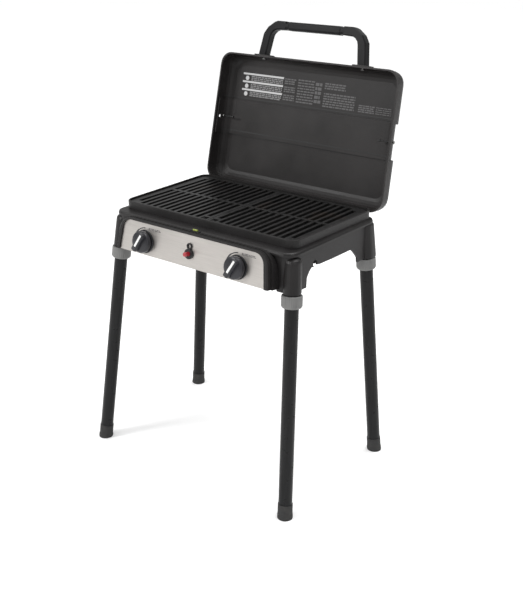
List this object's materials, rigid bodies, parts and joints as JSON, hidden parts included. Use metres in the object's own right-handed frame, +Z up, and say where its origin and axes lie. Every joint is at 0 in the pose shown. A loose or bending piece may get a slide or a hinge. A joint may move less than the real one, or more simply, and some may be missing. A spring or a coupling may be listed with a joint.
{
  "type": "camping stove",
  "caption": "Portable lidded camping stove with a burner on each side, front controls and four detachable splayed legs.",
  "frame": {"origin": "centre of the bounding box on the ground, with the lid open", "axes": "+X to the right of a person facing the controls, -Y towards that person, +Z up"},
  "size_m": [0.6302, 0.5296, 1.0226],
  "materials": {
    "casting": "textured matt black paint",
    "steel": "brushed stainless",
    "moulding": "satin black moulding",
    "red_button": "gloss red",
    "white_marker": "satin white",
    "grey_collar": "satin grey moulding",
    "leg_paint": "satin black paint",
    "foot_rubber": "matt black",
    "grate_iron": "black enamel",
    "brass": "machined",
    "zinc_steel": "zinc plated steel",
    "ceramic": "glazed",
    "vial": "clear yellow-green"
  },
  "bodies": {
    "stove_body": {"cook_box": "casting", "console_housing": "casting", "console_panel": "steel", "gas_manifold": "brass", "gas_inlet": "brass", "igniter_bezel": "moulding", "igniter_barrel": "moulding", "level_holder": "moulding", "level_vial": "vial", "knob_bezel_left": "moulding", "valve_body_left": "brass", "burner_left": "steel", "heat_tent_left": "steel", "electrode_left": "ceramic", "hinge_pin_left": "zinc_steel", "knob_bezel_right": "moulding", "valve_body_right": "brass", "burner_right": "steel", "heat_tent_right": "steel", "electrode_right": "ceramic", "hinge_pin_right": "zinc_steel"},
    "lid": {"lid": "casting", "handle_grip": "moulding", "handle_bracket_left": "moulding", "handle_bracket_right": "moulding", "handle_screw_left": "zinc_steel", "handle_screw_right": "zinc_steel", "lid_peg_left": "zinc_steel", "lid_peg_right": "zinc_steel"},
    "valve_plug_left": {"valve_plug_left": "brass"},
    "knob_left": {"valve_stem_left": "zinc_steel", "knob_left": "moulding", "knob_pointer_left": "white_marker"},
    "valve_plug_right": {"valve_plug_right": "brass"},
    "knob_right": {"valve_stem_right": "zinc_steel", "knob_right": "moulding", "knob_pointer_right": "white_marker"},
    "igniter_button": {"igniter_button": "red_button"},
    "grate_left": {"grate_left": "grate_iron"},
    "grate_right": {"grate_right": "grate_iron"},
    "grease_tray": {"grease_tray": "steel"},
    "leg_front_left": {"leg_front_left": "leg_paint", "foot_front_left": "foot_rubber"},
    "collar_front_left": {"collar_front_left": "grey_collar"},
    "leg_rear_left": {"leg_rear_left": "leg_paint", "foot_rear_left": "foot_rubber"},
    "collar_rear_left": {"collar_rear_left": "grey_collar"},
    "leg_front_right": {"leg_front_right": "leg_paint", "foot_front_right": "foot_rubber"},
    "collar_front_right": {"collar_front_right": "grey_collar"},
    "leg_rear_right": {"leg_rear_right": "leg_paint", "foot_rear_right": "foot_rubber"},
    "collar_rear_right": {"collar_rear_right": "grey_collar"}
  },
  "joints": [
    {"name": "lid_hinge", "type": "hinge", "parent": "stove_body", "child": "lid", "pos_m": [0, 0.14262, 0.6114], "axis": [1, 0, 0], "range_deg": [0, 101.35]},
    {"name": "knob_turn_left", "type": "hinge", "parent": "stove_body", "child": "valve_plug_left", "pos_m": [-0.137, -0.22818, 0.5662], "axis": [0, -0.9885, 0.1513], "range_deg": [0, 150]},
    {"name": "knob_push_left", "type": "slide", "parent": "valve_plug_left", "child": "knob_left", "axis": [0, 0.9885, -0.1513], "range_m": [0, 0.0035], "stiffness_N_per_m": 1500},
    {"name": "knob_turn_right", "type": "hinge", "parent": "stove_body", "child": "valve_plug_right", "pos_m": [0.137, -0.22818, 0.5662], "axis": [0, -0.9885, 0.1513], "range_deg": [0, 150]},
    {"name": "knob_push_right", "type": "slide", "parent": "valve_plug_right", "child": "knob_right", "axis": [0, 0.9885, -0.1513], "range_m": [0, 0.0035], "stiffness_N_per_m": 1500},
    {"name": "igniter_push", "type": "slide", "parent": "stove_body", "child": "igniter_button", "axis": [0, 0.9885, -0.1513], "range_m": [0, 0.006], "stiffness_N_per_m": 1200},
    {"name": "grate_lift_left", "type": "slide", "parent": "stove_body", "child": "grate_left", "axis": [0, 0, 1], "range_m": [0, 0.05]},
    {"name": "grate_lift_right", "type": "slide", "parent": "stove_body", "child": "grate_right", "axis": [0, 0, 1], "range_m": [0, 0.05]},
    {"name": "grease_tray_slide", "type": "slide", "parent": "stove_body", "child": "grease_tray", "axis": [0, 1, 0], "range_m": [0, 0.2]},
    {"name": "leg_release_front_left", "type": "slide", "parent": "stove_body", "child": "leg_front_left", "axis": [-0.068, -0.1116, -0.9914], "range_m": [0, 0.07]},
    {"name": "collar_twist_front_left", "type": "hinge", "parent": "stove_body", "child": "collar_front_left", "pos_m": [-0.2554, -0.18988, 0.5047], "axis": [0.068, 0.1116, 0.9914], "range_deg": [0, 80]},
    {"name": "leg_release_rear_left", "type": "slide", "parent": "stove_body", "child": "leg_rear_left", "axis": [-0.0833, 0.0404, -0.9957], "range_m": [0, 0.07]},
    {"name": "collar_twist_rear_left", "type": "hinge", "parent": "stove_body", "child": "collar_rear_left", "pos_m": [-0.2548, 0.11422, 0.5047], "axis": [0.0833, -0.0404, 0.9957], "range_deg": [0, 80]},
    {"name": "leg_release_front_right", "type": "slide", "parent": "stove_body", "child": "leg_front_right", "axis": [0.068, -0.1116, -0.9914], "range_m": [0, 0.07]},
    {"name": "collar_twist_front_right", "type": "hinge", "parent": "stove_body", "child": "collar_front_right", "pos_m": [0.2554, -0.18988, 0.5047], "axis": [-0.068, 0.1116, 0.9914], "range_deg": [0, 80]},
    {"name": "leg_release_rear_right", "type": "slide", "parent": "stove_body", "child": "leg_rear_right", "axis": [0.0833, 0.0404, -0.9957], "range_m": [0, 0.07]},
    {"name": "collar_twist_rear_right", "type": "hinge", "parent": "stove_body", "child": "collar_rear_right", "pos_m": [0.2548, 0.11422, 0.5047], "axis": [-0.0833, -0.0404, 0.9957], "range_deg": [0, 80]}
  ]
}
